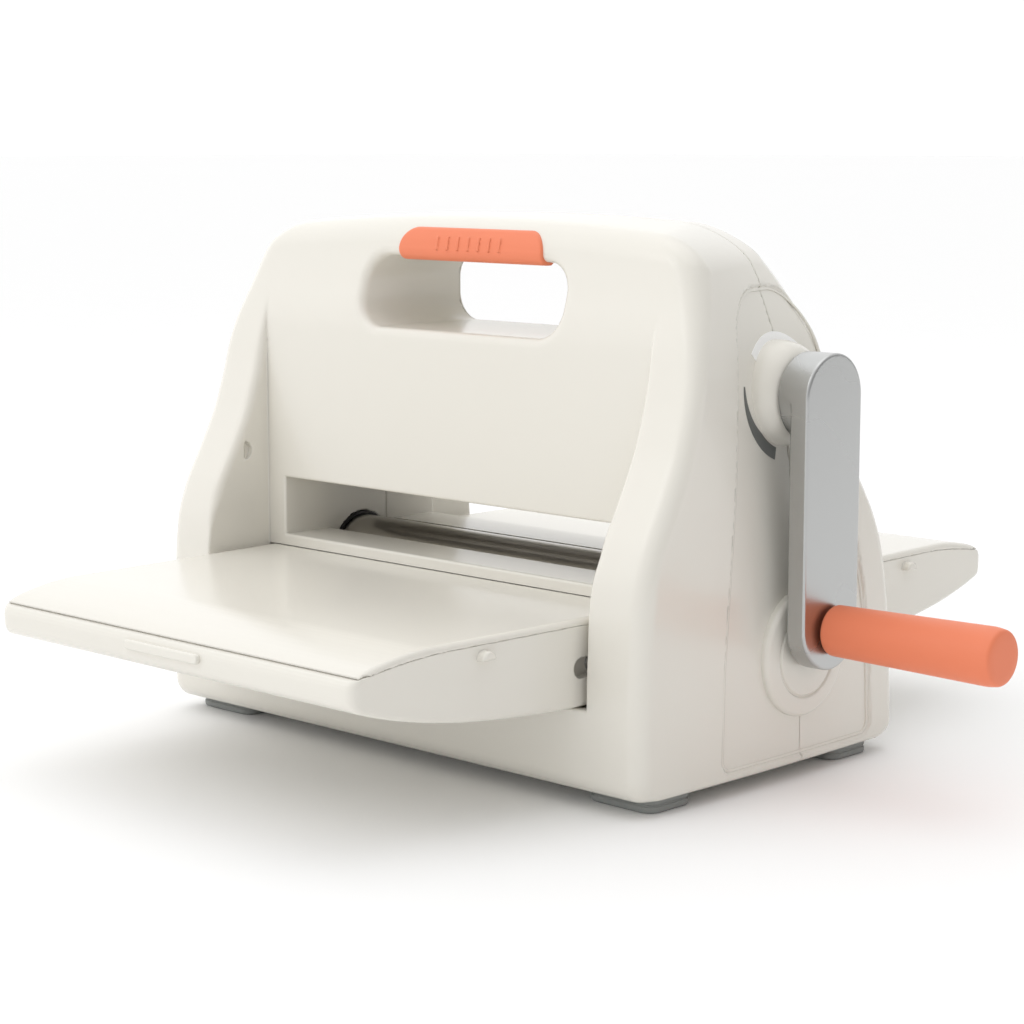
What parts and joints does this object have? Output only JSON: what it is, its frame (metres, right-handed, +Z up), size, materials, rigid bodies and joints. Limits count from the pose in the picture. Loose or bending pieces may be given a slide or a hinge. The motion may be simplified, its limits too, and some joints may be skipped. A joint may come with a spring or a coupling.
{
  "type": "die cutting machine",
  "caption": "Hand-cranked tabletop die cutting machine with a roller pair in a cream casing, carry handle, fold-down front and rear trays and a coral crank grip.",
  "frame": {"origin": "bottom centre of the whole machine's box at rest, on the table plane (crank down, trays open)", "axes": "+Z up, +X along the rollers towards the crank, -Y the front (infeed) side"},
  "size_m": [0.4404, 0.463, 0.261],
  "materials": {
    "casing_cream": "moulded ABS, satin gloss",
    "coral_soft": "soft-touch, matte",
    "foot_grey": "matte moulded rubber",
    "steel": "zinc plated steel",
    "roller_chrome": "ground and polished steel",
    "arm_silver": "satin silver paint on die casting",
    "black_plastic": "bearing plastic",
    "gear_plastic": "moulded acetal",
    "print_white": "pad printed",
    "print_dark": "pad printed"
  },
  "bodies": {
    "casing": {"front_shell": "casing_cream", "rear_shell": "casing_cream", "base_plate": "casing_cream", "crank_boss": "casing_cream", "lower_cap": "casing_cream", "handle_grip_insert": "coral_soft", "foot_front_left": "foot_grey", "foot_front_right": "foot_grey", "foot_rear_left": "foot_grey", "foot_rear_right": "foot_grey", "frame_left": "steel", "frame_right": "steel", "tie_rod_1": "steel", "tie_rod_2": "steel", "tie_rod_3": "steel", "tie_rod_4": "steel", "lower_bush_left": "steel", "lower_bush_right": "steel", "upper_bush_left": "steel", "upper_bush_right": "steel", "crank_bush": "steel", "front_hinge_pin_left": "steel", "front_hinge_pin_right": "steel", "rear_hinge_pin_left": "steel", "rear_hinge_pin_right": "steel", "base_screw_front_left": "steel", "base_screw_front_right": "steel", "base_screw_rear_left": "steel", "base_screw_rear_right": "steel", "lower_collar_left": "black_plastic", "lower_collar_right": "black_plastic", "upper_collar_left": "black_plastic", "upper_collar_right": "black_plastic", "mark_light": "print_white", "mark_dark": "print_dark"},
    "front_tray": {"front_tray_top": "casing_cream", "front_tray_pan": "casing_cream", "front_finger_bar": "casing_cream"},
    "rear_tray": {"rear_tray_top": "casing_cream", "rear_tray_pan": "casing_cream", "rear_finger_bar": "casing_cream"},
    "crank": {"crank_shaft": "steel", "crank_pinion": "steel", "crank_arm": "arm_silver", "crank_set_screw": "steel", "grip_pin": "steel"},
    "grip": {"crank_grip": "coral_soft"},
    "upper_roller_set": {"upper_roller": "roller_chrome", "upper_gear": "steel", "reduction_gear": "gear_plastic", "upper_retaining_ring": "steel"},
    "lower_roller_set": {"lower_roller": "roller_chrome", "lower_gear": "steel", "lower_retaining_ring": "steel"}
  },
  "joints": [
    {"name": "front_tray_fold", "type": "hinge", "parent": "casing", "child": "front_tray", "pos_m": [-0.05475, -0.083, 0.06475], "axis": [-1, 0, 0], "range_deg": [0, 90]},
    {"name": "rear_tray_fold", "type": "hinge", "parent": "casing", "child": "rear_tray", "pos_m": [-0.05475, 0.083, 0.06475], "axis": [1, 0, 0], "range_deg": [0, 90]},
    {"name": "crank_turn", "type": "hinge", "parent": "casing", "child": "crank", "pos_m": [0.11525, 0.0166, 0.18072], "axis": [1, 0, 0], "continuous": true},
    {"name": "grip_spin", "type": "hinge", "parent": "crank", "child": "grip", "pos_m": [0.17525, 0.0166, 0.0735], "axis": [1, 0, 0], "continuous": true},
    {"name": "upper_roller_turn", "type": "hinge", "parent": "casing", "child": "upper_roller_set", "pos_m": [-0.05475, 0, 0.1325], "axis": [1, 0, 0], "continuous": true},
    {"name": "lower_roller_turn", "type": "hinge", "parent": "casing", "child": "lower_roller_set", "pos_m": [-0.05475, 0, 0.08], "axis": [1, 0, 0], "continuous": true}
  ],
  "couplings": [
    {"joint": "upper_roller_turn", "follows": "crank_turn", "ratio": -0.33333},
    {"joint": "lower_roller_turn", "follows": "crank_turn", "ratio": 0.33333}
  ]
}
